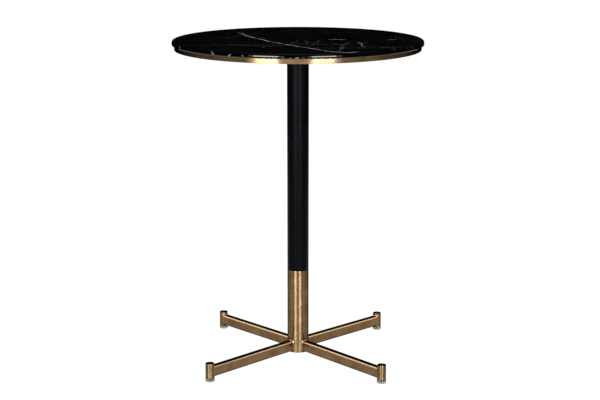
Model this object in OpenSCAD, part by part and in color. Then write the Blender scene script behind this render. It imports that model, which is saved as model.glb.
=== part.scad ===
// Bar table. A round marble slab lies on a board that a brass band goes round. A black tube and
// a brass tube of the same diameter make the column. The brass tube's foot carries four legs in
// a cross, and each leg ends in a short post that stands on a levelling glide.
// Z is up. The origin is on the floor, on the column's axis.

/* [Table top] */
// Height of the whole table
table_h = 1050; // [700:5:1200]
// Diameter of the marble slab
top_d = 800; // [500:5:1000]
// Thickness of the marble slab
marble_t = 15; // [12:0.5:30]
// Radius of the slab's upper edge
marble_upper_r = 9; // [1:0.5:11]
// Radius of the slab's lower edge
marble_lower_r = 3; // [1:0.5:4]
// Thickness of the board under the slab
board_t = 15; // [12:0.5:30]
// How far the slab stands out past the brass band
slab_overhang = 8; // [2:0.5:20]
// Thickness of the brass band
band_t = 1.5; // [0.8:0.1:3]
// Radius of the brass band's outer edges
band_edge_r = 0.6; // [0.2:0.1:0.7]

/* [Plate under the top] */
// Diameter of the steel plate that the top is screwed to
plate_d = 300; // [240:5:400]
// Thickness of the steel plate
plate_t = 5; // [3:0.5:8]
// Radius of the steel plate's edges
plate_edge_r = 1; // [0.5:0.1:1.4]
// Distance from the plate's edge to the circle of screws
screw_margin = 20; // [12:1:30]
// Number of screws
screw_count = 8; // [4:1:12]
// Diameter of a screw's shank
screw_d = 6; // [5:0.5:8]
// How far a screw reaches into the board
screw_grip = 8; // [5:0.5:8]
// Diameter of a screw's head
screw_head_d = 12; // [11:0.5:16]
// Height of a screw's head
screw_head_h = 3.6; // [3:0.2:5]
// Radius of the lower edge of a screw's head
screw_head_r = 1.2; // [0.4:0.1:1.4]
// Radius of that head's edge at the plate
screw_seat_r = 0.2; // [0.1:0.1:0.6]
// Width across flats of the hexagon socket in a screw's head
socket_af = 4; // [3:0.5:5]
// Depth of that socket
socket_depth = 2; // [1:0.2:2.4]
// Length of a threaded insert in the board
insert_l = 11; // [9:0.5:11]
// Wall of a threaded insert
insert_wall = 1.5; // [1:0.1:2.5]

/* [Column] */
// Outer diameter of both column tubes
column_d = 70; // [56:1:100]
// Wall of both column tubes
column_wall = 2.5; // [1.5:0.1:4]
// Height of the joint between the black tube and the brass tube
joint_z = 295; // [180:5:500]
// Width of the dark groove at that joint
joint_gap = 1; // [0.5:0.1:3]
// Radius of the brass tube's upper outer edge
brass_lip_r = 1.5; // [0.5:0.1:1.5]
// Height of the brass tube's lower end above the floor
column_foot_z = 14.5; // [5:0.5:18]
// Radius of the brass tube's lower outer edge
column_foot_r = 0.8; // [0.3:0.1:1.4]

/* [Inside the column] */
// How far the joining sleeve reaches into each tube
sleeve_reach = 50; // [30:1:80]
// Wall of the joining sleeve
sleeve_wall = 4; // [2:0.5:8]
// How far the sleeve's collar lies inside the tubes' outer face
collar_setback = 1.2; // [0.4:0.1:1.4]
// Height of the boss that centres the black tube under the plate
boss_h = 20; // [12:1:40]
// Depth of the base plate above the column's lower end
base_plate_recess = 18; // [18:1:40]
// Thickness of the base plate
base_plate_t = 5; // [3:0.5:10]
// Diameter of the tie rod
rod_d = 10; // [8:1:12]
// How far the tie rod stands out below its nut
rod_tail = 3; // [1:0.5:5]
// Outer diameter of the washer on the tie rod
washer_d = 24; // [20:1:30]
// Thickness of the washer
washer_t = 2; // [1:0.5:3]
// Width across flats of the tie rod's nut
nut_af = 17; // [16:1:19]
// Height of the nut
nut_h = 8; // [6:0.5:10]

/* [Legs] */
// Distance from the column's axis to a post's axis
foot_reach = 382; // [250:2:450]
// Width of a leg
leg_w = 25; // [18:0.5:25]
// Height of a leg's section
leg_h = 35; // [22:1:36]
// Wall of a leg
leg_wall = 2; // [1.2:0.1:3]
// Radius of a leg's long edges
leg_edge_r = 7; // [3.5:0.5:8]
// Height of a leg's underside at the column
leg_z = 19; // [19:0.5:25]
// How far a leg falls between the column and the post
leg_fall = 4; // [0:0.5:4]

/* [Posts] */
// Diameter of a post
post_d = 28; // [27:0.5:40]
// Wall of a post
post_wall = 2.5; // [1.5:0.1:4]
// Thickness of a post's closed top
post_cap_t = 3; // [2:0.5:6]
// How far a post stands above its leg
post_rise = 10; // [4:0.5:20]
// Radius of a post's outer edges
post_edge_r = 0.8; // [0.3:0.1:1.4]
// Height of the threaded plug in a post's lower end
plug_h = 12; // [8:0.5:14]

/* [Levelling glides] */
// Diameter of a glide's pad
pad_d = 30; // [27:0.5:40]
// Height of a glide's pad
pad_h = 12; // [10:0.5:14]
// Radius of the pad's lower edge
pad_lower_r = 3; // [1:0.5:3]
// Radius of the pad's upper edge
pad_upper_r = 1; // [0.5:0.1:1.5]
// Thickness of the pad under the stud's head
pad_floor_t = 4; // [2:0.5:4]
// Diameter of the stud's round head
head_d = 18; // [14:0.5:20]
// Height of the stud's head
head_h = 3.5; // [2:0.5:4]
// Diameter of the stud
stud_d = 8; // [6:0.5:10]
// Chamfer at the stud's upper end
stud_chamfer = 1; // [0.5:0.1:1.5]
// Room left between the stud and the post's closed top
stud_headroom = 12; // [5:1:13]

/* [Clearances] */
// Gap round a piece that is pressed or welded into another
fit_gap = 0.05; // [0.02:0.01:0.1]
// Gap round a screw, stud or rod in its thread, which is drawn as a plain bore
thread_gap = 0.05; // [0.02:0.01:0.1]
// Gap round a screw or rod in a hole that it passes through
hole_gap = 0.4; // [0.2:0.1:1]
// Gap round the stud's head in the pad
swivel_gap = 0.08; // [0.03:0.01:0.1]
// Gap between a leg's shaped end and the tube that it is welded to
weld_gap = 0.05; // [0.02:0.01:0.2]
// Gap between a pad and its post when the glide is screwed right in
glide_gap = 0.2; // [0.1:0.05:0.5]

/* [Hidden] */
$fn = 96;

// How far a cut runs past the face that it opens
cut_past = 1;

// Directions of the four legs, in degrees round the column
front_left = 225;
front_right = 315;
back_right = 45;
back_left = 135;

// Levels of the top, from the slab down
marble_z = table_h - marble_t;
board_z = marble_z - board_t;
plate_z = board_z - plate_t;

// Radii of the top
slab_r = top_d / 2;
band_r = slab_r - slab_overhang;
board_r = band_r - band_t - fit_gap;
screw_circle_r = plate_d / 2 - screw_margin;
screw_head_z = plate_z - screw_head_h;
insert_r = screw_d / 2 + thread_gap + insert_wall;

// Radii and levels of the column
column_r = column_d / 2;
bore_r = column_r - column_wall;
in_tube_r = bore_r - fit_gap;
brass_top_z = joint_z - joint_gap / 2;
black_foot_z = joint_z + joint_gap / 2;
base_plate_z = column_foot_z + base_plate_recess;
washer_z = base_plate_z - washer_t;
nut_z = washer_z - nut_h;
rod_z = nut_z - rod_tail;
rod_bore_r = rod_d / 2 + thread_gap;
rod_hole_r = rod_d / 2 + hole_gap;

// A leg's slope, and the height of its centre line on the column's axis
leg_slope = atan(leg_fall / (foot_reach - column_r));
leg_axis_z = leg_z + leg_h / 2 / cos(leg_slope) + column_r * tan(leg_slope);

// Levels of a post and its glide
post_r = post_d / 2;
post_bore_r = post_r - post_wall;
post_z = pad_h + glide_gap;
post_top_z = leg_z - leg_fall + leg_h + post_rise;
stud_top_z = post_top_z - post_cap_t - stud_headroom;

// Section of a ring or disc about the axis, with its outer edges rounded
module rounded_section(r_in, r_out, z_low, z_high, r_upper, r_lower) {
    w = r_out - r_in;
    h = z_high - z_low;
    intersection() {
        translate([r_in, z_low]) square([w, h]);
        union() {
            translate([r_in, z_low + r_lower]) square([w, h - r_lower - r_upper]);
            translate([r_in, z_low]) square([w - r_lower, h - r_upper]);
            translate([r_in, z_low + r_lower]) square([w - r_upper, h - r_lower]);
            translate([r_out - r_upper, z_high - r_upper]) circle(r_upper);
            translate([r_out - r_lower, z_low + r_lower]) circle(r_lower);
        }
    }
}

// Rectangle with rounded corners, centred
module rounded_rectangle(w, h, r) {
    square([w - 2 * r, h], center = true);
    square([w, h - 2 * r], center = true);
    for (x = [-1, 1], y = [-1, 1])
        translate([x * (w / 2 - r), y * (h / 2 - r)]) circle(r);
}

// Pipe on the axis between two heights
module pipe(r_out, r_in, z_low, z_high) {
    rotate_extrude()
        translate([r_in, z_low]) square([r_out - r_in, z_high - z_low]);
}

// Round bar or bore on the axis between two heights
module bar(r, z_low, z_high) {
    translate([0, 0, z_low]) cylinder(h = z_high - z_low, r = r);
}

// Hexagonal bar or socket on the axis between two heights, by its width across flats
module hexagon_bar(across_flats, z_low, z_high) {
    translate([0, 0, z_low])
        cylinder(h = z_high - z_low, d = across_flats / cos(30), $fn = 6);
}

// Puts a copy at each screw of the plate
module at_screws() {
    for (i = [0 : screw_count - 1])
        rotate(i * 360 / screw_count) translate([screw_circle_r, 0, 0]) children();
}

// Puts a piece at the end of the leg that points in a direction
module at_post(direction) {
    rotate(direction) translate([foot_reach, 0, 0]) children();
}

// Polished slab with a rounded edge, glued to the board
module marble_top() {
    color("#0b0b0d")
        rotate_extrude()
            rounded_section(0, slab_r, marble_z, table_h, marble_upper_r, marble_lower_r);
}

// Round board that carries the slab, with blind holes for the threaded inserts
module top_board() {
    color("#2a211b")
        difference() {
            bar(board_r, board_z, marble_z);
            at_screws()
                bar(insert_r + fit_gap, board_z - cut_past, board_z + insert_l);
        }
}

// Brass strip bent round the board's edge
module rim_band() {
    color("#b08d57")
        rotate_extrude()
            rounded_section(band_r - band_t, band_r, board_z, marble_z, band_edge_r, band_edge_r);
}

// Threaded inserts, set flush into the board's underside
module board_inserts() {
    color("#c9b27a")
        at_screws()
            pipe(insert_r, screw_d / 2 + thread_gap, board_z, board_z + insert_l);
}

// Screws that hold the steel plate to the board
module plate_screws() {
    color("#3a3a3c")
        at_screws()
            difference() {
                union() {
                    rotate_extrude()
                        rounded_section(0, screw_head_d / 2, screw_head_z, plate_z,
                            screw_seat_r, screw_head_r);
                    bar(screw_d / 2, screw_head_z + socket_depth, board_z + screw_grip);
                }
                hexagon_bar(socket_af, screw_head_z - cut_past, screw_head_z + socket_depth);
            }
}

// Round steel plate between the board and the column
module top_plate() {
    color("#161617")
        difference() {
            rotate_extrude()
                rounded_section(rod_hole_r, plate_d / 2, plate_z, board_z,
                    plate_edge_r, plate_edge_r);
            at_screws()
                bar(screw_d / 2 + hole_gap, plate_z - cut_past, board_z + cut_past);
        }
}

// Turned boss, welded under the plate, that centres the black tube and takes the tie rod
module column_boss() {
    color("#6d6e70")
        pipe(in_tube_r, rod_bore_r, plate_z - boss_h, plate_z);
}

// Black part of the column
module upper_column() {
    color("#121214")
        pipe(column_r, bore_r, black_foot_z, plate_z);
}

// Sleeve inside both tubes; its collar keeps the dark groove between them
module joining_sleeve() {
    color("#1a1a1b") {
        sleeve_r = in_tube_r - sleeve_wall;
        pipe(in_tube_r, sleeve_r, joint_z - sleeve_reach, joint_z + sleeve_reach);
        pipe(column_r - collar_setback, in_tube_r - sleeve_wall / 2, brass_top_z, black_foot_z);
    }
}

// Brass part of the column, with a rounded lip under the groove
module lower_column() {
    color("#b08d57")
        rotate_extrude()
            rounded_section(bore_r, column_r, column_foot_z, brass_top_z,
                brass_lip_r, column_foot_r);
}

// Disc welded inside the column's foot, which the tie rod pulls against
module base_plate() {
    color("#6d6e70")
        pipe(in_tube_r, rod_hole_r, base_plate_z, base_plate_z + base_plate_t);
}

// Rod from the base plate's nut to the boss under the top plate
module tie_rod() {
    color("#9a9c9f")
        bar(rod_d / 2, rod_z, plate_z);
}

// Washer between the base plate and the nut
module rod_washer() {
    color("#9a9c9f")
        pipe(washer_d / 2, rod_hole_r, washer_z, base_plate_z);
}

// Hexagon nut on the tie rod's lower end
module rod_nut() {
    color("#9a9c9f")
        difference() {
            hexagon_bar(nut_af, nut_z, washer_z);
            bar(rod_bore_r, nut_z - cut_past, washer_z + cut_past);
        }
}

// Rectangular tube leg, shaped at both ends to the round tubes that it is welded to
module leg(direction) {
    color("#a8834f")
        rotate(direction)
            difference() {
                translate([0, 0, leg_axis_z]) rotate([0, 90 + leg_slope, 0])
                    linear_extrude(foot_reach / cos(leg_slope))
                        difference() {
                            rounded_rectangle(leg_h, leg_w, leg_edge_r);
                            rounded_rectangle(leg_h - 2 * leg_wall, leg_w - 2 * leg_wall,
                                leg_edge_r - leg_wall);
                        }
                bar(column_r + weld_gap, 0, leg_axis_z + leg_h);
                translate([foot_reach, 0, 0]) bar(post_r + weld_gap, 0, leg_axis_z + leg_h);
            }
}

// Short vertical tube with a closed top
module post(direction) {
    color("#b08d57")
        at_post(direction)
            difference() {
                rotate_extrude()
                    rounded_section(0, post_r, post_z, post_top_z, post_edge_r, post_edge_r);
                bar(post_bore_r, post_z - cut_past, post_top_z - post_cap_t);
            }
}

// Threaded steel plug in the post's lower end
module plug(direction) {
    color("#6d6e70")
        at_post(direction)
            pipe(post_bore_r - fit_gap, stud_d / 2 + thread_gap, post_z, post_z + plug_h);
}

// Threaded stud, turned to level the table; its round head turns in the pad
module stud(direction) {
    shank_r = stud_d / 2;
    color("#9a9c9f")
        at_post(direction)
            rotate_extrude()
                polygon([
                    [0, pad_floor_t],
                    [head_d / 2, pad_floor_t],
                    [head_d / 2, pad_floor_t + head_h],
                    [shank_r, pad_floor_t + head_h],
                    [shank_r, stud_top_z - stud_chamfer],
                    [shank_r - stud_chamfer, stud_top_z],
                    [0, stud_top_z]
                ]);
}

// Clear plastic pad that stands on the floor, moulded round the stud's head
module pad(direction) {
    color("#a9a7a3")
        at_post(direction)
            difference() {
                rotate_extrude()
                    rounded_section(0, pad_d / 2, 0, pad_h, pad_upper_r, pad_lower_r);
                bar(head_d / 2 + swivel_gap, pad_floor_t - swivel_gap,
                    pad_floor_t + head_h + swivel_gap);
                bar(stud_d / 2 + swivel_gap, pad_floor_t, pad_h + cut_past);
            }
}

marble_top();
top_board();
rim_band();
board_inserts();
plate_screws();
top_plate();
column_boss();
upper_column();
joining_sleeve();
lower_column();
base_plate();
tie_rod();
rod_washer();
rod_nut();
leg(front_left);  // leg_front_left
leg(front_right);  // leg_front_right
leg(back_right);  // leg_back_right
leg(back_left);  // leg_back_left
post(front_left);  // post_front_left
post(front_right);  // post_front_right
post(back_right);  // post_back_right
post(back_left);  // post_back_left
plug(front_left);  // plug_front_left
plug(front_right);  // plug_front_right
plug(back_right);  // plug_back_right
plug(back_left);  // plug_back_left
stud(front_left);  // stud_front_left
stud(front_right);  // stud_front_right
stud(back_right);  // stud_back_right
stud(back_left);  // stud_back_left
pad(front_left);  // pad_front_left
pad(front_right);  // pad_front_right
pad(back_right);  // pad_back_right
pad(back_left);  // pad_back_left
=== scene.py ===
import math

import bpy
import numpy as np
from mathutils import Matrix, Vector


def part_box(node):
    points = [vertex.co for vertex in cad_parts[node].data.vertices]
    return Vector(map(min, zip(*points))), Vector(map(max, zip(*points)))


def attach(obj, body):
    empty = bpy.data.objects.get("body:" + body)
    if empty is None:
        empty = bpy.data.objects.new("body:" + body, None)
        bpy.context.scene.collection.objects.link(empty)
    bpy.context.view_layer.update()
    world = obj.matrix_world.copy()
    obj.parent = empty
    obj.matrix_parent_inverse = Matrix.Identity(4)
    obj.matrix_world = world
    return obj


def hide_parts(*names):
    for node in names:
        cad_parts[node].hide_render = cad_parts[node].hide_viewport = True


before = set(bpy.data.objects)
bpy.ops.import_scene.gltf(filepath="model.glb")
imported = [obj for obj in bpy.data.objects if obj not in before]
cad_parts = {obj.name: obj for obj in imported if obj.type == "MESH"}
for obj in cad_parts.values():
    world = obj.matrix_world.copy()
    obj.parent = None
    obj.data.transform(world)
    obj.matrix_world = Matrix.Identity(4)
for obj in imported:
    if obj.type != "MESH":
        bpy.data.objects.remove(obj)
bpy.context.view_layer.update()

# Camera
# The photograph was taken from 4.35 m away and 1.52 m above the floor, a little to the right of
# the table's front, and looks 12.9 degrees down and 1.5 degrees left, at the column.
image_width = 600
focal_px = 1370.15
sensor_width = 36.0
camera_distance = 4.3521
camera_height = 1.5210
camera_swing = math.radians(1.625)
look_down = math.radians(12.872)
look_left = math.radians(1.539)

camera_data = bpy.data.cameras.new("photo_camera")
camera_data.sensor_width = sensor_width
camera_data.lens = focal_px / image_width * sensor_width
camera = bpy.data.objects.new("photo_camera", camera_data)
camera.location = (
    camera_distance * math.sin(camera_swing),
    -camera_distance * math.cos(camera_swing),
    camera_height,
)
camera.rotation_euler = (math.pi / 2 - look_down, 0, look_left)
bpy.context.scene.collection.objects.link(camera)
bpy.context.scene.camera = camera
bpy.context.scene.view_settings.view_transform = "Standard"

# Floor, surroundings and light
# A plain white floor, white surroundings and a wide softbox overhead light the table. The rest
# shows only in its gloss. A black curtain, with a canopy and a floor cloth of the same velvet,
# makes the polished slab look black, as it does in the photograph.
mm = 0.001
floor_reach = 40.0
floor_colour = "#E9E8E6"
# How much of the floor is its own even white where it shows, and how bright that white is
background_share, background_strength = 0.86, 1.16
room_light = 0.3
curtain_radius, curtain_height = 5.2, 3.9
cloth_inside, cloth_lift = 3.0, 0.5 * mm
canopy_hole = 0.01
# The canopy glows faintly over the table, which gives the slab some gloss from above
canopy_glow, canopy_glow_radius = 0.35, 2.2
curtain_colour = "#0A0A0B"
overhead_size, overhead_height, overhead_strength = 3.4, 3.3, 2.4
tall_card, low_card, edge_card, side_card = (0.86, 2.20), (0.02, 0.44), (0.86, 1.26), (0.70, 3.60)
cool_white, soft_white, plain_white = (0.88, 1.0, 1.15), (0.95, 1.0, 1.05), (1, 1, 1)
backdrop_white = (1, 1, 1, 1)
# Glowing cards draw the bright lines: two tall ones in front with dimmer ones round them, low
# ones for the base, others for the slab's edge alone, and dim ones at the sides for the brass
# tube and for the legs
cards = {
    # name: the pieces it lights (front: all but the slab), turn from the front in degrees,
    # distance, lower and upper end, width, strength and colour
    "left_card": ("front", -25.5, 4.50, tall_card, 1.50, 30, cool_white),
    "left_card_foot": ("front", -25.5, 4.50, low_card, 1.50, 20, cool_white),
    "left_glow": ("front", -25.5, 4.60, tall_card, 2.60, 3, cool_white),
    "right_card": ("front", 23.5, 4.50, tall_card, 1.45, 27, cool_white),
    "right_card_foot": ("front", 23.5, 4.50, low_card, 1.45, 20, cool_white),
    "right_glow": ("front", 24.5, 4.60, tall_card, 2.60, 3, cool_white),
    "middle_glow": ("front", -0.8, 4.62, tall_card, 1.30, 3.5, soft_white),
    "front_fill": ("front", -2, 4.60, low_card, 2.20, 2.3, plain_white),
    "left_fill": ("front", -58, 4.40, low_card, 3.40, 1.1, plain_white),
    "right_fill": ("front", 56, 4.40, low_card, 3.40, 1.35, plain_white),
    "left_slab": ("slab", -25.5, 4.50, edge_card, 1.70, 13, plain_white),
    "left_glow_slab": ("slab", -25.5, 4.60, edge_card, 2.50, 2, plain_white),
    "right_slab": ("slab", 23.5, 4.50, edge_card, 1.65, 12, plain_white),
    "right_glow_slab": ("slab", 24.5, 4.60, edge_card, 2.40, 2, plain_white),
    "left_sheen_tube": ("tube", -62, 4.40, tall_card, 2.40, 1.8, cool_white),
    "right_sheen_tube": ("tube", 58, 4.40, tall_card, 2.40, 1.2, cool_white),
    "left_side": ("side", -104, 2.60, side_card, 2.20, 2.2, plain_white),
    "right_side": ("side", 106, 2.60, side_card, 2.20, 1.7, plain_white),
}


def linear(colour):
    """An sRGB hex colour as linear red, green, blue and alpha: c / 12.92 below 0.04045, and
    ((c + 0.055) / 1.055) to the power 2.4 above."""
    srgb = [int(colour[i : i + 2], 16) / 255 for i in (1, 3, 5)]
    return [c / 12.92 if c < 0.04045 else ((c + 0.055) / 1.055) ** 2.4 for c in srgb] + [1]


def add(tree, kind, inputs, output=None, **settings):
    """Adds a node with its settings and returns its output of that name, or else the first one in
    use. Inputs go by name, or by place among those in use. One that is another node's output is
    linked, and any other is set."""
    made = tree.nodes.new(kind)
    for setting, value in settings.items():
        setattr(made, setting, value)
    in_use = [socket for socket in made.inputs if socket.enabled]
    for key, value in inputs.items():
        socket = in_use[key] if isinstance(key, int) else made.inputs[key]
        if isinstance(value, bpy.types.NodeSocket):
            tree.links.new(value, socket)
        else:
            socket.default_value = value
    if output:
        return made.outputs[output]
    return next((socket for socket in made.outputs if socket.enabled), None)


def shown_by_ray(tree):
    """1 for the rays that show the background, straight, mirrored or through clear plastic, and
    0 for those that light the object."""
    straight, mirrored, through = [
        add(tree, "ShaderNodeLightPath", {}, "Is " + ray + " Ray")
        for ray in ("Camera", "Glossy", "Transmission")]
    shown = add(tree, "ShaderNodeMath", {0: straight, 1: mirrored}, operation="MAXIMUM")
    return add(tree, "ShaderNodeMath", {0: shown, 1: through}, operation="MAXIMUM")


def new_material(name):
    """An empty material of that name, and its node tree."""
    material = bpy.data.materials.new(name)
    material.use_nodes = True
    material.node_tree.nodes.clear()
    return material, material.node_tree


def once_round(count):
    """That many angles, evenly spaced once round."""
    return np.linspace(0, 2 * math.pi, count, endpoint=False)


world = bpy.data.worlds.new("white_room")
world.use_nodes = True
world.node_tree.nodes.clear()
room = world.node_tree
strength = add(room, "ShaderNodeMapRange", {"Value": shown_by_ray(room), "To Min": room_light})
background = add(room, "ShaderNodeBackground", {"Color": backdrop_white, "Strength": strength})
add(room, "ShaderNodeOutputWorld", {"Surface": background})
bpy.context.scene.world = world

floor_mesh = bpy.data.meshes.new("floor")
floor_corners = floor_reach * np.array([[-1, -1, 0], [1, -1, 0], [1, 1, 0], [-1, 1, 0]])
floor_mesh.from_pydata(floor_corners.tolist(), [], [[0, 1, 2, 3]])
floor = bpy.data.objects.new("floor", floor_mesh)
painted_floor, tree = new_material("white_painted_floor")
matt = add(tree, "ShaderNodeBsdfDiffuse", {"Color": linear(floor_colour)})
shown = add(tree, "ShaderNodeEmission",
            {"Color": backdrop_white, "Strength": background_strength})
share = add(tree, "ShaderNodeMath", {0: shown_by_ray(tree), 1: background_share},
            operation="MULTIPLY")
paint = add(tree, "ShaderNodeMixShader", {0: share, 1: matt, 2: shown})
add(tree, "ShaderNodeOutputMaterial", {"Surface": paint})
floor_mesh.materials.append(painted_floor)

turns = once_round(96)
rings = [(cloth_inside, cloth_lift), (curtain_radius, cloth_lift),
         (curtain_radius, curtain_height), (canopy_hole, curtain_height)]
ring_points = np.concatenate(
    [np.column_stack([r * np.cos(turns), r * np.sin(turns), np.full(len(turns), z)])
     for r, z in rings])
low = np.arange((len(rings) - 1) * len(turns))
following = np.where((low + 1) % len(turns), low + 1, low + 1 - len(turns))
curtain_mesh = bpy.data.meshes.new("curtain")
curtain_mesh.from_pydata(
    ring_points.tolist(), [],
    np.column_stack([low, low + len(turns), following + len(turns), following]).tolist())
curtain = bpy.data.objects.new("curtain", curtain_mesh)
black_cloth, tree = new_material("black_velvet")
velvet = add(tree, "ShaderNodeBsdfDiffuse", {"Color": linear(curtain_colour)})
spot = add(tree, "ShaderNodeTexCoord", {}, "Object")
from_top = add(tree, "ShaderNodeVectorMath", {0: spot, 1: (0, 0, curtain_height)},
               operation="DISTANCE")
glow = add(tree, "ShaderNodeMapRange",
           {"Value": from_top, "From Min": 0.0, "From Max": canopy_glow_radius,
            "To Min": canopy_glow, "To Max": 0.0}, interpolation_type="SMOOTHSTEP")
glow = add(tree, "ShaderNodeEmission", {"Color": backdrop_white, "Strength": glow})
cloth = add(tree, "ShaderNodeAddShader", {0: velvet, 1: glow})
add(tree, "ShaderNodeOutputMaterial", {"Surface": cloth})
curtain_mesh.materials.append(black_cloth)
curtain.visible_camera = False
curtain.visible_diffuse = False
curtain.visible_transmission = False
curtain.visible_shadow = False

for backdrop in (floor, curtain):
    bpy.context.scene.collection.objects.link(backdrop)


def lamp(name, place, aim, wide, tall, strength, colour=plain_white):
    """An area lamp that the camera doesn't see. Its strength is its own brightness, so its power
    is strength times pi times its area."""
    light = bpy.data.lights.new(name, "AREA")
    light.shape = "RECTANGLE"
    light.size, light.size_y = wide, tall
    light.energy = strength * math.pi * wide * tall
    light.color = colour
    made = bpy.data.objects.new(name, light)
    made.location = place
    made.rotation_euler = aim
    made.visible_camera = False
    bpy.context.scene.collection.objects.link(made)
    return made


overhead = lamp("overhead", (0, 0, overhead_height), (0, 0, 0), overhead_size, overhead_size,
                overhead_strength)
overhead.visible_glossy = False
lit_by = {group: bpy.data.collections.new("lit_by_the_" + group + "_lamps")
          for group in ("front", "slab", "tube", "side")}
for name, (group, turn, distance, (lower, upper), wide, strength, colour) in cards.items():
    angle = math.radians(turn)
    card = lamp(name, (distance * math.sin(angle), -distance * math.cos(angle),
                       (lower + upper) / 2), (math.pi / 2, 0, angle), wide, upper - lower,
                strength, colour)
    card.visible_diffuse = False
    card.light_linking.receiver_collection = lit_by[group]

# Marble slab
# A disc sawn from black marble with thin white calcite veins, ground and polished. Its edge
# leans in a little and is rounded above and below. It is glued to the board.
marble_upper_edge = 6.8 * mm
marble_lower_edge = 3 * mm
marble_upright = 5.6 * mm
marble_lean = math.radians(3.4)
slab_ring = 100 * mm
wander_size, wander = 60 * mm, 8 * mm
jitter_size, jitter = 11 * mm, 0.8 * mm
# Veins break up where this noise is low: there they keep only a third of their strength
break_size, vein_breaks = 30 * mm, {"From Min": 0.4, "From Max": 0.58, "To Min": 0.35}
cloud_size, cloud_span = 110 * mm, {"From Min": 0.4, "From Max": 0.7}
marble_black = "#050506"
marble_cloud = "#0D0D10"
calcite = "#D8D5CF"
ground_roughness, calcite_roughness = 0.05, 0.16
# At its two ends a vein is only this share of its width
vein_tip = 0.15
# Veins that show at a glance, in mm across the slab (right, back): points, width and strength
traced_veins = [
    ([(-206, 200), (-192, 160), (-165, 85), (-93, -55), (-30, -152), (39, -243), (82, -307),
      (120, -345), (150, -355), (170, -349), (192, -334)], 8.0, 1.0),
    ([(-165, 85), (-128, 66), (-104, 22)], 3.0, 0.3),
    ([(-30, -152), (-10, -118), (-14, -78)], 3.0, 0.3),
    ([(-228, 240), (-190, 205), (-169, 90)], 4.0, 0.3),
    ([(-357, -174), (-259, -171), (-137, -168), (-33, -165)], 8.0, 0.2),
    ([(48, -243), (153, -240), (258, -238), (340, -205)], 8.0, 0.2),
    ([(94, -9), (108, -7), (138, -6), (152, -3)], 7.0, 1.0),
    ([(286, 4), (296, 0), (306, -4), (316, -5)], 7.0, 1.0),
    ([(184, -84), (192, -105), (200, -130), (196, -170), (204, -198), (212, -220)], 4.8, 0.8),
    ([(-95, 255), (-40, 262), (30, 240)], 3.0, 0.16),
    ([(60, 180), (170, 200), (205, 185)], 3.0, 0.16),
]
# Faint cracks between cells of marble: the cells' size, the cracks' width, their strength, and
# how high a noise of so many cells has to be for them to fade in
faint_cracks = [(300 * mm, 3.6 * mm, 0.11, 0.54), (150 * mm, 2.6 * mm, 0.07, 0.52)]
crack_patch, crack_fade = 1.4, 0.08
crack_wander = 70 * mm
# Calcite flecks that break the slab's edge, each a short stroke: from and to in degrees from the
# front and height in mm, then its width in mm
edge_flecks = [
    ((-64.5, 1045), (-63.3, 1045), 4.4), ((-63.3, 1045), (-63.0, 1040), 4.0),
    ((-37.9, 1043), (-37.2, 1040), 10.0), ((-35.6, 1040), (-35.3, 1038), 4.0),
    ((-28.9, 1039), (-27.8, 1044), 6.4), ((-21.9, 1042), (-21.7, 1038), 4.4),
    ((-5.0, 1039), (-4.2, 1039), 3.2), ((-1.8, 1039), (-1.2, 1039), 3.2),
    ((0.6, 1039), (1.9, 1040), 4.0), ((3.2, 1039), (4.6, 1040), 4.4),
    ((6.2, 1040), (7.8, 1041), 4.0), ((112, 1043), (113, 1038), 4.8),
    ((171, 1044), (172, 1040), 6.0), ((-140, 1040), (-139, 1043), 5.2),
]


def rounded(corners, closed=False, longest=None, steps=7, guard=0.3 * mm):
    """A profile through corners (x, y, radius). Each corner with a radius is an arc that touches
    both of its sides: its centre lies on the corner's bisector, radius / sin(half the corner's
    angle) away. A guard point just before and after each arc keeps the flats flat, and
    straights over the longest length are divided evenly."""
    spots = np.array([corner[:2] for corner in corners], float)
    path = []
    for i, radius in enumerate(corner[2] for corner in corners):
        if radius == 0:
            path.append(spots[i : i + 1])
            continue
        before = spots[i - 1] - spots[i]
        after = spots[(i + 1) % len(spots)] - spots[i]
        before /= np.linalg.norm(before)
        after /= np.linalg.norm(after)
        half = math.acos(float(np.clip(before @ after, -1, 1))) / 2
        middle = (before + after) / np.linalg.norm(before + after)
        centre = spots[i] + middle * radius / math.sin(half)
        first = spots[i] + before * radius / math.tan(half) - centre
        last = spots[i] + after * radius / math.tan(half) - centre
        swing = math.pi - 2 * half
        part = np.linspace(0, 1, steps + 1)[:, None]
        arc = np.sin((1 - part) * swing) * first + np.sin(part * swing) * last
        arc = centre + arc / math.sin(swing)
        path.append(np.vstack([arc[:1] + guard * before, arc, arc[-1:] + guard * after]))
    path = np.vstack(path)
    if longest is None:
        return path
    ends = np.roll(path, -1, axis=0) if closed else path[1:]
    starts = path if closed else path[:-1]
    pieces = [
        start + (end - start) * np.arange(count)[:, None] / count
        for start, end in zip(starts, ends)
        for count in [max(1, math.ceil(np.linalg.norm(end - start) / longest))]
    ]
    return np.vstack(pieces if closed else pieces + [path[-1:]])


def turned(profile, angles, centre=(0.0, 0.0), dent=None):
    """A profile (distance from the axis, height), turned round an upright axis: x and y are the
    centre plus distance times cosine and sine of the angle. A dent, rows by angles, is taken off
    the distance."""
    distance = np.repeat(profile[:, :1], len(angles), axis=1)
    if dent is not None:
        distance = distance - dent
    return np.stack([centre[0] + distance * np.cos(angles), centre[1] + distance * np.sin(angles),
                     np.repeat(profile[:, 1:], len(angles), axis=1)], axis=-1)


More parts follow.
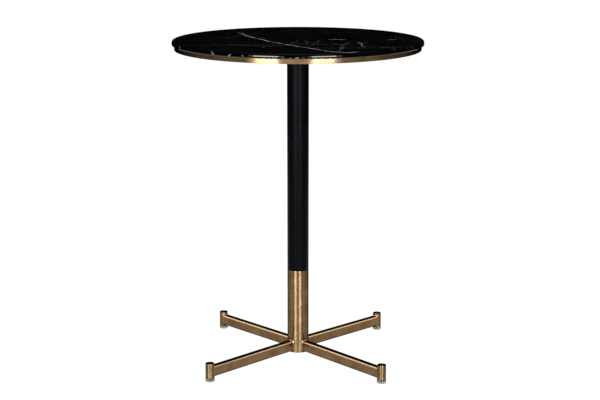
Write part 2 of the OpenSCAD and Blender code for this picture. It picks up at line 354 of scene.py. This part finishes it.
def skin(name, points, material, body, nodes, loop=False, brushed="round"):
    """Makes a piece of a grid of points, as quads between neighbouring rows and columns. Columns
    close round, rows too where loop is set, and a first or last row that is one repeated point
    becomes a pole. The UV map holds metres, across the brush lines and then along them. An edge
    attribute is sin(2 a) for a surface that leans back by an angle a: 1 halfway round an upper
    edge, -1 halfway round a lower one, and 0 on walls and flats. The brass uses it to paint a
    highlight on upper edges and shade under lower ones."""
    rows, columns = points.shape[:2]
    place = np.arange(rows * columns).reshape(rows, columns)
    poles = [not loop and np.ptp(points[end], axis=0).max() < 1e-9 for end in (0, -1)]
    for end, pole in zip((0, -1), poles):
        if pole:
            place[end] = place[end, 0]
    wide = np.concatenate([place, place[:, :1]], axis=1)
    tall = np.concatenate([wide, wide[:1]]) if loop else wide
    quads = np.stack([tall[:-1, :-1], tall[:-1, 1:], tall[1:, 1:], tall[1:, :-1]], axis=-1)

    path = np.concatenate([points, points[:1]]) if loop else points
    along = np.linalg.norm(np.diff(path, axis=0), axis=-1).max(axis=1)
    along = np.concatenate([[0], np.cumsum(along)])
    belt = np.concatenate([points, points[:, :1]], axis=1)
    around = np.linalg.norm(np.diff(belt, axis=1), axis=-1).max(axis=0)
    around = np.concatenate([[0], np.cumsum(around)])
    a, b = np.meshgrid(along, around, indexing="ij")
    chart = np.stack([a, b] if brushed == "round" else [b, a], axis=-1)
    charts = np.stack([chart[:-1, :-1], chart[:-1, 1:], chart[1:, 1:], chart[1:, :-1]], axis=2)

    first = 1 if poles[0] else 0
    last = len(quads) - 1 if poles[1] else len(quads)
    faces = quads[first:last].reshape(-1, 4).tolist()
    uv = [charts[first:last].reshape(-1, 2)]
    for pole, row, corners in ((poles[0], 0, [0, 2, 3]), (poles[1], -1, [0, 1, 2])):
        if pole:
            faces += quads[row][:, corners].tolist()
            uv.append(charts[row][:, corners].reshape(-1, 2))
    used, renumbered = np.unique(np.concatenate([np.ravel(f) for f in faces]),
                                 return_inverse=True)
    lengths = np.array([len(f) for f in faces])
    starts = np.concatenate([[0], np.cumsum(lengths)[:-1]])
    mesh = bpy.data.meshes.new(name)
    mesh.vertices.add(len(used))
    mesh.vertices.foreach_set("co", points.reshape(-1, 3)[used].ravel())
    mesh.loops.add(len(renumbered))
    mesh.loops.foreach_set("vertex_index", renumbered.astype(np.int32))
    mesh.polygons.add(len(faces))
    mesh.polygons.foreach_set("loop_start", starts.astype(np.int32))
    mesh.polygons.foreach_set("use_smooth", np.ones(len(faces), bool))
    mesh.update(calc_edges=True)
    mesh.uv_layers.new(name="surface").data.foreach_set("uv", np.vstack(uv).ravel())
    mesh.validate()
    # The edge attribute, by which the brass paints a highlight on upper edges and shade under
    # lower ones
    up = np.empty(3 * len(mesh.vertices))
    mesh.vertices.foreach_get("normal", up)
    up = up[2::3]
    mesh.attributes.new("painted_edge_light", "FLOAT", "POINT").data.foreach_set(
        "value", 2 * up * np.sqrt(np.clip(1 - up**2, 0, 1)))
    mesh.materials.append(material)
    piece = bpy.data.objects.new(name, mesh)
    bpy.context.scene.collection.objects.link(piece)
    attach(piece, body)
    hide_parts(*nodes)
    return piece


def nearness(tree, where, start, end, width, end_width=None):
    """1 on the straight line from start to end, falling smoothly to 0 at half a width from it.
    The nearest point is start + t (end - start), with t the projection held between 0 and 1, and
    the width changes evenly with t."""
    start, end = np.array(start, float), np.array(end, float)
    run = end - start
    away = add(tree, "ShaderNodeVectorMath", {0: where, 1: start}, operation="SUBTRACT")
    t = add(tree, "ShaderNodeVectorMath", {0: away, 1: run / (run @ run)}, "Value",
            operation="DOT_PRODUCT")
    t = add(tree, "ShaderNodeMath", {0: t, 1: 1.0}, operation="MULTIPLY", use_clamp=True)
    foot = add(tree, "ShaderNodeVectorMath", {0: run, "Scale": t}, operation="SCALE")
    gap = add(tree, "ShaderNodeVectorMath", {0: away, 1: foot}, "Value", operation="DISTANCE")
    reach = add(tree, "ShaderNodeMapRange", {"Value": t, "To Min": width / 2,
                                             "To Max": (end_width or width) / 2})
    return add(tree, "ShaderNodeMapRange",
               {"Value": gap, "From Min": 0.0, "From Max": reach, "To Min": 1.0, "To Max": 0.0},
               interpolation_type="SMOOTHSTEP")


def polished_marble():
    """Polished black marble: a near-black ground with slow clouds, sharp white calcite veins that
    wander, break up and thin out, faint cracks, and flecks on the edge. Polishing leaves it
    mirror-smooth, and the softer veins a little duller."""
    material, tree = new_material("polished_black_marble")
    spot = add(tree, "ShaderNodeTexCoord", {}, "Object")
    slow = add(tree, "ShaderNodeTexNoise", {"Vector": spot, "Scale": 1 / wander_size,
                                            "Detail": 3.0, "Roughness": 0.5}, "Color")
    quick = add(tree, "ShaderNodeTexNoise", {"Vector": spot, "Scale": 1 / jitter_size,
                                             "Detail": 2.0}, "Color")
    moved = spot
    for noise, reach in ((slow, wander), (quick, jitter)):
        push = add(tree, "ShaderNodeVectorMath", {0: noise, 1: (0.5, 0.5, 0.5)},
                   operation="SUBTRACT")
        push = add(tree, "ShaderNodeVectorMath", {0: push, "Scale": 2 * reach},
                   operation="SCALE")
        moved = add(tree, "ShaderNodeVectorMath", {0: moved, 1: push}, operation="ADD")
    flat = add(tree, "ShaderNodeVectorMath", {0: moved, 1: (1, 1, 0)}, operation="MULTIPLY")
    bent = add(tree, "ShaderNodeVectorMath", {0: slow, "Scale": crack_wander}, operation="SCALE")
    bent = add(tree, "ShaderNodeVectorMath", {0: spot, 1: bent}, operation="ADD")
    bent = add(tree, "ShaderNodeVectorMath", {0: bent, 1: (1, 1, 0)}, operation="MULTIPLY")

    breaks = add(tree, "ShaderNodeTexNoise", {"Vector": spot, "Scale": 1 / break_size,
                                              "Detail": 3.0, "Roughness": 0.6})
    breaks = add(tree, "ShaderNodeMapRange", {"Value": breaks, **vein_breaks})
    vein = None
    for points, width, weight in traced_veins:
        points = [(x * mm, y * mm, 0) for x, y in points]
        widths = [width * mm] * len(points)
        widths[0] = widths[-1] = width * mm * vein_tip
        for ends in zip(points, points[1:], widths, widths[1:]):
            near = nearness(tree, flat, *ends)
            near = add(tree, "ShaderNodeMath", {0: near, 1: weight}, operation="MULTIPLY")
            vein = near if vein is None else add(
                tree, "ShaderNodeMath", {0: vein, 1: near}, operation="MAXIMUM")
    vein = add(tree, "ShaderNodeMath", {0: vein, 1: breaks}, operation="MULTIPLY")

    for cell, width, weight, share in faint_cracks:
        crack = add(tree, "ShaderNodeTexVoronoi", {"Vector": bent, "Scale": 1 / cell},
                    feature="DISTANCE_TO_EDGE")
        crack = add(tree, "ShaderNodeMapRange",
                    {"Value": crack, "From Min": 0.0, "From Max": width / cell, "To Min": weight,
                     "To Max": 0.0}, interpolation_type="SMOOTHSTEP")
        here = add(tree, "ShaderNodeTexNoise", {"Vector": flat, "Scale": 1 / (crack_patch * cell),
                                                "Detail": 2.0})
        here = add(tree, "ShaderNodeMapRange", {"Value": here, "From Min": share,
                                                "From Max": share + crack_fade})
        crack = add(tree, "ShaderNodeMath", {0: crack, 1: here}, operation="MULTIPLY")
        vein = add(tree, "ShaderNodeMath", {0: vein, 1: crack}, operation="MAXIMUM")

    for *ends, width in edge_flecks:
        start, end = [
            (slab_radius * math.sin(math.radians(turn)),
             -slab_radius * math.cos(math.radians(turn)), height * mm) for turn, height in ends]
        fleck = nearness(tree, moved, start, end, width * mm)
        vein = add(tree, "ShaderNodeMath", {0: vein, 1: fleck}, operation="MAXIMUM")

    clouds = add(tree, "ShaderNodeTexNoise", {"Vector": moved, "Scale": 1 / cloud_size,
                                              "Detail": 6.0, "Roughness": 0.6})
    clouds = add(tree, "ShaderNodeMapRange", {"Value": clouds, **cloud_span})
    ground = add(tree, "ShaderNodeMix", {0: clouds, 1: linear(marble_black),
                                         2: linear(marble_cloud)}, data_type="RGBA")
    colour = add(tree, "ShaderNodeMix", {0: vein, 1: ground, 2: linear(calcite)},
                 data_type="RGBA")
    dullness = add(tree, "ShaderNodeMapRange", {"Value": vein, "To Min": ground_roughness,
                                                "To Max": calcite_roughness})
    surface = add(tree, "ShaderNodeBsdfPrincipled",
                  {"Base Color": colour, "Roughness": dullness, "IOR": 1.5,
                   "Specular IOR Level": 0.45})
    add(tree, "ShaderNodeOutputMaterial", {"Surface": surface})
    return material


slab_low, slab_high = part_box("marble_top")
slab_radius = slab_high.x
slab_lean = (slab_high.z - slab_low.z - marble_upright) * math.tan(marble_lean)
slab_profile = rounded(
    [(0, slab_low.z, 0), (slab_radius, slab_low.z, marble_lower_edge),
     (slab_radius, slab_low.z + marble_upright, marble_lower_edge),
     (slab_radius - slab_lean, slab_high.z, marble_upper_edge), (0, slab_high.z, 0)],
    longest=slab_ring, steps=10)
full_turn = once_round(256)
slab = skin("marble_slab", turned(slab_profile, full_turn), polished_marble(), "table_frame",
            ["marble_top"])
# The slab has lamps of its own, and the front ones leave it out
lit_by["slab"].objects.link(slab)
lit_by["front"].objects.link(slab)
lit_by["front"].collection_objects[0].light_linking.link_state = "EXCLUDE"

# Brass band
# A brass strip, 1.5 mm thick, bent round the board under the slab and butted at the back. It is
# brushed round its length, given an antique brown finish and lacquered.
band_thickness, band_edge, band_guard = 1.5 * mm, 0.6 * mm, 0.05 * mm
seam_angle = math.radians(90)
seam_half_width, seam_depth = 0.35 * mm, 0.35 * mm
brush_line, brush_length = 1.1 * mm, 55 * mm
brush_relief = 0.02 * mm
line_dark, line_light = 0.94, 1.05
patina_size, patina_gloss = 38 * mm, 0.015
brass_light = "#886D4D"
brass_dark = "#6C5439"
# Upper edges are painted paler, a painted highlight, and lower ones darker, painted shade: the
# colour, and the values of the edge attribute between which it comes in
painted_edge_tones = (("#BE9F76", 0.2, 0.9), ("#2E2418", -0.3, -1.0))
brass_edge_on = (0.30, 0.36, 0.45, 1)
# The brass tube's foot: its roughness, how much paler its colour is painted as a painted sheen,
# and the fade's half width
dressed_roughness, painted_foot_sheen, dressed_and_sheen_fade = 0.62, 1.45, 3 * mm
# Most of a noise pattern's values lie in this span
noise_span = {"From Min": 0.3, "From Max": 0.7}


def brushed_brass(name, roughness=0.33, anisotropy=1.0, painted_light_level=1.0, dressed_and_sheen_top=None):
    """Brushed brass with an antique finish under lacquer: a metal whose fine lines spread each
    highlight across them, with slow brown clouds from the finish. Its colour is scaled by a
    brightness factor: a copy above 1 is painted lighter, as painted light, and one below 1
    darker, as painted shade. Edge-on it turns dark, as the brown finish in the lines does. The
    real lines are 0.2 mm apart, too fine to show, so they are drawn about 1 mm apart and faint.
    Upper edges are painted paler, a painted highlight, and lower ones darker, painted shade. Up
    to the foot's given height, the metal is duller, and its colour is painted paler, a painted
    sheen."""
    material, tree = new_material(name)
    spot = add(tree, "ShaderNodeTexCoord", {}, "Object")
    chart = add(tree, "ShaderNodeUVMap", {}, uv_map="surface")
    stretched = add(tree, "ShaderNodeVectorMath",
                    {0: chart, 1: (1 / brush_line, 1 / brush_length, 0)}, operation="MULTIPLY")
    lines = add(tree, "ShaderNodeTexNoise", {"Vector": stretched, "Scale": 1.0, "Detail": 3.0,
                                             "Roughness": 0.65})
    clouds = add(tree, "ShaderNodeTexNoise", {"Vector": spot, "Scale": 1 / patina_size,
                                              "Detail": 5.0, "Roughness": 0.55})
    mix = add(tree, "ShaderNodeMapRange", {"Value": clouds, **noise_span})
    tone = add(tree, "ShaderNodeMix", {0: mix, 1: linear(brass_dark), 2: linear(brass_light)},
               data_type="RGBA")
    # A brightness factor scales the colour: above 1 it paints light, below 1 it paints shade
    shade = add(tree, "ShaderNodeMapRange", {"Value": lines, **noise_span,
                                             "To Min": line_dark * painted_light_level,
                                             "To Max": line_light * painted_light_level})
    tone = add(tree, "ShaderNodeVectorMath", {0: tone, "Scale": shade}, operation="SCALE")
    # Upper edges are painted paler, a painted highlight, and lower ones darker, painted shade
    painted_edge_light = add(tree, "ShaderNodeAttribute", {}, attribute_name="painted_edge_light")
    for colour, least, most in painted_edge_tones:
        there = add(tree, "ShaderNodeMapRange", {"Value": painted_edge_light, "From Min": least,
                                                 "From Max": most})
        tone = add(tree, "ShaderNodeMix", {0: there, 1: tone, 2: linear(colour)},
                   data_type="RGBA")
    gloss = add(tree, "ShaderNodeMapRange",
                {"Value": clouds, **noise_span, "To Min": roughness + patina_gloss,
                 "To Max": roughness - patina_gloss})
    if dressed_and_sheen_top:
        height = add(tree, "ShaderNodeSeparateXYZ", {0: spot}, "Z")
        above = add(tree, "ShaderNodeMapRange",
                    {"Value": height, "From Min": dressed_and_sheen_top - dressed_and_sheen_fade,
                     "From Max": dressed_and_sheen_top + dressed_and_sheen_fade})
        # Up to the foot's top the colour is painted paler, a painted sheen
        shade = add(tree, "ShaderNodeMapRange", {"Value": above, "To Min": painted_foot_sheen,
                                                 "To Max": 1.0})
        tone = add(tree, "ShaderNodeVectorMath", {0: tone, "Scale": shade}, operation="SCALE")
        gloss = add(tree, "ShaderNodeMix", {0: above, 1: dressed_roughness, 2: gloss},
                    data_type="FLOAT")
    relief = add(tree, "ShaderNodeBump", {"Height": lines, "Strength": 0.08,
                                          "Distance": brush_relief})
    tangent = add(tree, "ShaderNodeTangent", {}, direction_type="UV_MAP", uv_map="surface")
    surface = add(tree, "ShaderNodeBsdfPrincipled",
                  {"Base Color": tone, "Metallic": 1.0, "Roughness": gloss,
                   "Specular Tint": brass_edge_on, "Anisotropic": anisotropy,
                   "Normal": relief, "Tangent": tangent})
    add(tree, "ShaderNodeOutputMaterial", {"Surface": surface})
    return material


# The band's copy of the brass is painted brighter than the rest, as painted light
band_brass = brushed_brass("antique_brass_brushed_strip", painted_light_level=1.4)
band_low, band_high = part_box("rim_band")
band_radius = band_high.x
band_profile = rounded(
    [(band_radius - band_thickness, band_low.z, band_edge / 2),
     (band_radius, band_low.z, band_edge), (band_radius, band_high.z, band_edge),
     (band_radius - band_thickness, band_high.z, band_edge / 2)], closed=True, steps=5,
    guard=band_guard)
near_seam = seam_angle + np.linspace(-2, 2, 17) * seam_half_width / band_radius
band_angles = np.sort(np.concatenate(
    [full_turn[np.abs(full_turn - seam_angle) > 3 * seam_half_width / band_radius], near_seam]))
from_seam = (band_angles - seam_angle) * band_radius / seam_half_width
seam_dent = seam_depth * np.exp(-(from_seam**2)) * (band_profile[:, :1] > band_radius - band_edge)
skin("brass_band", turned(band_profile, band_angles, dent=seam_dent), band_brass,
     "table_frame", ["rim_band"], loop=True)

# Board
# A round of plywood, stained black, that carries the slab. Only its underside shows, round the
# steel plate.
ply_grain, ply_length, ply_relief = 7 * mm, 160 * mm, 0.15 * mm
ply_dark, ply_light = "#0C0A08", "#34281F"

# Plywood under a black stain: the face veneer's long grain shows through in dark brown
stained_ply, tree = new_material("black_stained_plywood")
spot = add(tree, "ShaderNodeTexCoord", {}, "Object")
grain = add(tree, "ShaderNodeVectorMath",
            {0: spot, 1: (1 / ply_length, 1 / ply_grain, 1 / ply_grain)}, operation="MULTIPLY")
grain = add(tree, "ShaderNodeTexNoise", {"Vector": grain, "Scale": 1.0, "Detail": 5.0,
                                         "Roughness": 0.6, "Distortion": 0.4})
tone = add(tree, "ShaderNodeMapRange", {"Value": grain, "From Min": 0.35, "From Max": 0.7})
tone = add(tree, "ShaderNodeMix", {0: tone, 1: linear(ply_dark), 2: linear(ply_light)},
           data_type="RGBA")
relief = add(tree, "ShaderNodeBump", {"Height": grain, "Strength": 0.3, "Distance": ply_relief})
surface = add(tree, "ShaderNodeBsdfPrincipled",
              {"Base Color": tone, "Roughness": 0.7, "Specular IOR Level": 0.12,
               "Normal": relief})
add(tree, "ShaderNodeOutputMaterial", {"Surface": surface})


def repaint(node, material):
    """Gives a CAD node its material."""
    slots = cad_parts[node].data.materials
    slots.clear()
    slots.append(material)


repaint("top_board", stained_ply)

# Steel plate and its screws
# A steel disc with a matt black powder coat, screwed into threaded inserts in the board. The
# screws are blackened.
peel_size, peel_relief = 1.6 * mm, 0.05 * mm
gloss_cloud_size = 60 * mm
coat_black, coat_grey = "#060608", "#0B0B0E"
coat_roughness, coat_cloud_gloss, coat_specular = 0.36, 0.04, 0.035
tool_line, tool_line_length, tool_relief = 0.9 * mm, 125 * mm, 0.04 * mm
tool_line_gloss = 0.1
stain_size, stain_dark, stain_light = 12 * mm, 0.82, 1.05


def powder_coat():
    """Black powder coat, sprayed and baked: matt, with the faint orange peel that baking leaves,
    and slow changes of gloss."""
    material, tree = new_material("black_powder_coat")
    spot = add(tree, "ShaderNodeTexCoord", {}, "Object")
    peel = add(tree, "ShaderNodeTexNoise", {"Vector": spot, "Scale": 1 / peel_size,
                                            "Detail": 2.0})
    clouds = add(tree, "ShaderNodeTexNoise", {"Vector": spot, "Scale": 1 / gloss_cloud_size,
                                              "Detail": 4.0})
    mix = add(tree, "ShaderNodeMapRange", {"Value": clouds, **noise_span})
    tone = add(tree, "ShaderNodeMix", {0: mix, 1: linear(coat_black), 2: linear(coat_grey)},
               data_type="RGBA")
    gloss = add(tree, "ShaderNodeMapRange",
                {"Value": clouds, **noise_span, "To Min": coat_roughness - coat_cloud_gloss,
                 "To Max": coat_roughness + coat_cloud_gloss})
    relief = add(tree, "ShaderNodeBump", {"Height": peel, "Strength": 0.2,
                                          "Distance": peel_relief})
    surface = add(tree, "ShaderNodeBsdfPrincipled",
                  {"Base Color": tone, "Roughness": gloss,
                   "Specular IOR Level": coat_specular, "Normal": relief})
    add(tree, "ShaderNodeOutputMaterial", {"Surface": surface})
    return material


def turned_metal(name, colour, roughness):
    """Turned or drawn bright metal: fine rings or lines from the tool, as narrow noise across the
    height, with slight stains. The real lines are 0.1 mm apart, too fine to show, so they are
    drawn coarser."""
    material, tree = new_material(name)
    spot = add(tree, "ShaderNodeTexCoord", {}, "Object")
    lines = add(tree, "ShaderNodeVectorMath",
                {0: spot, 1: (1 / tool_line_length, 1 / tool_line_length, 1 / tool_line)},
                operation="MULTIPLY")
    lines = add(tree, "ShaderNodeTexNoise", {"Vector": lines, "Scale": 1.0, "Detail": 3.0})
    stains = add(tree, "ShaderNodeTexNoise", {"Vector": spot, "Scale": 1 / stain_size,
                                              "Detail": 4.0})
    shade = add(tree, "ShaderNodeMapRange", {"Value": stains, **noise_span,
                                             "To Min": stain_dark, "To Max": stain_light})
    tone = add(tree, "ShaderNodeVectorMath", {0: linear(colour)[:3], "Scale": shade},
               operation="SCALE")
    gloss = add(tree, "ShaderNodeMapRange",
                {"Value": lines, "To Min": roughness - tool_line_gloss,
                 "To Max": roughness + tool_line_gloss})
    relief = add(tree, "ShaderNodeBump", {"Height": lines, "Strength": 0.3,
                                          "Distance": tool_relief})
    surface = add(tree, "ShaderNodeBsdfPrincipled",
                  {"Base Color": tone, "Metallic": 1.0, "Roughness": gloss, "Normal": relief})
    add(tree, "ShaderNodeOutputMaterial", {"Surface": surface})
    return material


matt_black = powder_coat()
mild_steel = turned_metal("turned_mild_steel", "#8F8E8C", 0.38)
zinc_plate = turned_metal("zinc_plated_steel", "#C4C6C8", 0.3)
insert_brass = turned_metal("turned_brass", "#D2B36B", 0.35)
repaint("top_plate", matt_black)
repaint("plate_screws", matt_black)
repaint("board_inserts", insert_brass)
repaint("column_boss", mild_steel)

# Black tube
# The upper part of the column: steel tube with the same powder coat, drawn tight between the
# plate and the brass tube by a rod inside.
tube_wall, tube_edge, tube_ring = 2.5 * mm, 0.5 * mm, 60 * mm
tube_low, tube_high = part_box("upper_column")
column_radius = tube_high.x


def tube_profile(low, high, upper_edge, lower_edge):
    """Section of a tube of the column, round on its outer edges."""
    return rounded(
        [(column_radius - tube_wall, low, 0), (column_radius, low, lower_edge),
         (column_radius, high, upper_edge), (column_radius - tube_wall, high, 0)],
        closed=True, longest=tube_ring)


column_turn = once_round(160)
skin("black_tube", turned(tube_profile(tube_low.z, tube_high.z, tube_edge, tube_edge),
                          column_turn),
     matt_black, "table_frame", ["upper_column"], loop=True)

# Brass tube
# The lower part of the column, of the same diameter, with a rounded lip under the dark groove
# where the two tubes meet. It is brushed round like the band. Its foot, between the legs, is
# duller, as it was refinished by hand after they were welded on, and its colour is painted
# paler there, a painted sheen.
lip_edge, foot_edge = 1.5 * mm, 0.8 * mm
weld_top = 62 * mm
brass_low, brass_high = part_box("lower_column")
tube = skin("brass_tube", turned(tube_profile(brass_low.z, brass_high.z, lip_edge, foot_edge),
                                 column_turn),
            brushed_brass("antique_brass_brushed_round_foot", dressed_and_sheen_top=weld_top), "table_frame",
            ["lower_column"], loop=True)
lit_by["tube"].objects.link(tube)

# Sleeve, base plate and tie rod
# Steel parts inside the column: the sleeve's collar shows as the dark groove, and the base
# plate, washer, nut and rod's end show from below.
repaint("joining_sleeve", matt_black)
repaint("base_plate", mild_steel)
for node in ("tie_rod", "rod_washer", "rod_nut"):
    repaint(node, zinc_plate)

# Legs
# Four rectangular tubes with rounded edges, cut to fit the column and the posts and welded all
# round. The welds are ground to smooth fillets before the brass finish, and the legs are brushed
# along their length.
leg_turns = {"front_left": 225, "front_right": 315, "back_right": 45, "back_left": 135}
foot_reach = 382 * mm
feet = {corner: (foot_reach * math.cos(math.radians(turn)),
                 foot_reach * math.sin(math.radians(turn))) for corner, turn in leg_turns.items()}
leg_width, leg_height, leg_wall, leg_edge = 25 * mm, 35 * mm, 2 * mm, 7 * mm
leg_underside, leg_fall = 19 * mm, 4 * mm
post_radius = 14 * mm
weld_at_column = (3.0 * mm, 3.5 * mm)
weld_at_post = (0.7 * mm, 3.0 * mm)
weld_ripple, ripple_length = 0.12, 9 * mm
inner_stand_off = 0.1 * mm
weld_rows, straight_rows = 8, 10
section_step = 2.5 * mm
leg_slope = math.atan(leg_fall / (foot_reach - column_radius))
leg_axis_height = (leg_underside + leg_height / 2 / math.cos(leg_slope)
                   + column_radius * math.tan(leg_slope))


def leg_section(width, height, edge):
    """A rounded rectangle of points (across, up) and the unit vectors that point out of it: each
    is the step between its neighbours, turned a quarter back."""
    outline = rounded(
        [(-width / 2, -height / 2, edge), (width / 2, -height / 2, edge),
         (width / 2, height / 2, edge), (-width / 2, height / 2, edge)],
        closed=True, longest=section_step)
    step = np.roll(outline, -1, axis=0) - np.roll(outline, 1, axis=0)
    out = np.stack([step[:, 1], -step[:, 0]], axis=-1)
    return outline, out / np.linalg.norm(out, axis=1, keepdims=True)


def leg_rows(outline, out, welds):
    """Rows of a leg's wall from the column to the post, in the leg's own upright plane. Near
    each end the section swells by a quarter circle: 1 - cos(a) of the weld's size outwards where
    it is 1 - sin(a) of it from the round tube. Each row ends on the tubes' circles."""
    distance = np.cumsum(np.linalg.norm(np.roll(outline, -1, axis=0) - outline, axis=1))
    ripple = 1 + weld_ripple * np.sin(2 * math.pi * distance / ripple_length)[:, None]
    bend = np.linspace(math.pi / 2, 0, weld_rows)
    rows = []
    for at_post, size in enumerate(welds):
        for a in bend if not at_post else bend[::-1]:
            swell = outline + out * np.array(size) * (1 - math.cos(a)) * ripple
            stand_off = size[1] * (1 - math.sin(a))
            across = swell[:, 0]
            if at_post:
                along = foot_reach - np.sqrt(post_radius**2 - across**2) - stand_off
            else:
                along = np.sqrt(column_radius**2 - across**2) + stand_off
            rows.append(np.column_stack([along, across, swell[:, 1]]))
    start, end = rows[weld_rows - 1], rows[weld_rows]
    parts = np.linspace(0, 1, straight_rows + 2)[1:-1]
    middle = [start + (end - start) * part for part in parts]
    return np.array(rows[:weld_rows] + middle + rows[weld_rows:])


def leg_points(angle):
    """A leg's outer wall from column to post and its inner wall back, as one closed loop of rows.
    Height is the leg's axis, which falls with the slope, plus the section's height / cos(slope).
    The whole is turned to the leg's direction."""
    outer = leg_rows(*leg_section(leg_width, leg_height, leg_edge),
                     (weld_at_column, weld_at_post))
    inner_section = leg_section(leg_width - 2 * leg_wall, leg_height - 2 * leg_wall,
                                leg_edge - leg_wall)
    inner = leg_rows(*inner_section, ((0, inner_stand_off), (0, inner_stand_off)))
    across = np.linspace(0, 1, outer.shape[1], endpoint=False)
    source = np.linspace(0, 1, inner.shape[1], endpoint=False)
    inner = np.stack([
        np.stack([np.interp(across, source, row[:, axis], period=1) for axis in range(3)],
                 axis=-1)
        for row in inner])
    rows = np.concatenate([outer, inner[::-1]])
    height = (leg_axis_height - rows[..., 0] * math.tan(leg_slope)
              + rows[..., 2] / math.cos(leg_slope))
    return np.stack([rows[..., 0] * math.cos(angle) - rows[..., 1] * math.sin(angle),
                     rows[..., 0] * math.sin(angle) + rows[..., 1] * math.cos(angle),
                     height], axis=-1)


# The legs' copy of the brass is painted darker than the rest, as painted shade
leg_brass = brushed_brass("antique_brass_brushed_along", roughness=0.30, anisotropy=0.3,
                          painted_light_level=0.88)
for corner, turn in leg_turns.items():
    leg = skin("brass_leg_" + corner, leg_points(math.radians(turn)), leg_brass,
               "table_frame", ["leg_" + corner], loop=True, brushed="along")
    lit_by["side"].objects.link(leg)

# Posts
# Short upright tubes with a closed top, welded to the legs' ends. Each holds a threaded plug for
# its glide.
post_wall, post_cap, post_ring = 2.5 * mm, 3 * mm, 10 * mm
post_edge, bore_edge = 0.8 * mm, 0.3 * mm
post_turn = once_round(96)
post_brass = brushed_brass("antique_brass_brushed_round")
post_low, post_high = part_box("post_front_left")
post_profile = rounded(
    [(0, post_high.z - post_cap, 0), (post_radius - post_wall, post_high.z - post_cap, 0),
     (post_radius - post_wall, post_low.z, bore_edge), (post_radius, post_low.z, post_edge),
     (post_radius, post_high.z, post_edge), (0, post_high.z, 0)], longest=post_ring)
for corner, foot in feet.items():
    skin("brass_post_" + corner, turned(post_profile, post_turn, foot), post_brass,
         "table_frame", ["post_" + corner])
    repaint("plug_" + corner, mild_steel)

# Glides
# A zinc plated stud screws into each post's plug. Its round head turns in a pad of clear grey
# plastic, which is moulded round it with a fluted rim to grip by.
pad_radius, pad_height = 15 * mm, 12 * mm
pad_lower_edge, pad_upper_edge, hole_edge = 3 * mm, 1 * mm, 0.4 * mm
pocket_radius, hole_radius = 9.08 * mm, 4.08 * mm
pocket_floor, pocket_roof = 3.92 * mm, 7.58 * mm
pad_ring, pad_guard = 2 * mm, 0.1 * mm
flute_count, flute_depth = 24, 0.45 * mm
plastic_grey = "#ABA7A1"
haze_size = 4 * mm
clear_roughness, hazy_roughness = 0.1, 0.26
haze_dark, haze_light = 0.85, 1.1

# Moulded clear plastic: a grey body with a slight haze, which the stud's head shows through
clear_plastic, tree = new_material("clear_grey_plastic")
spot = add(tree, "ShaderNodeTexCoord", {}, "Object")
haze = add(tree, "ShaderNodeTexNoise", {"Vector": spot, "Scale": 1 / haze_size, "Detail": 3.0})
gloss = add(tree, "ShaderNodeMapRange", {"Value": haze, "To Min": clear_roughness,
                                         "To Max": hazy_roughness})
shade = add(tree, "ShaderNodeMapRange", {"Value": haze, "To Min": haze_dark,
                                         "To Max": haze_light})
tone = add(tree, "ShaderNodeVectorMath", {0: linear(plastic_grey)[:3], "Scale": shade},
           operation="SCALE")
surface = add(tree, "ShaderNodeBsdfPrincipled",
              {"Base Color": tone, "Roughness": gloss, "IOR": 1.49,
               "Transmission Weight": 0.6})
add(tree, "ShaderNodeOutputMaterial", {"Surface": surface})

pad_profile = rounded(
    [(0, 0, 0), (pad_radius, 0, pad_lower_edge), (pad_radius, pad_height, pad_upper_edge),
     (hole_radius, pad_height, hole_edge), (hole_radius, pocket_roof, 0),
     (pocket_radius, pocket_roof, 0), (pocket_radius, pocket_floor, 0),
     (0, pocket_floor, 0)], longest=pad_ring, guard=pad_guard)
pad_turn = once_round(8 * flute_count)
on_rim = np.clip((pad_profile[:, :1] - pad_radius + pad_upper_edge) / pad_upper_edge, 0, 1)
flutes = flute_depth * on_rim * (0.5 + 0.5 * np.cos(flute_count * pad_turn)) ** 2
for corner, foot in feet.items():
    skin("plastic_pad_" + corner, turned(pad_profile, pad_turn, foot, dent=flutes),
         clear_plastic, "glide_pad_" + corner, ["pad_" + corner])
    repaint("stud_" + corner, zinc_plate)
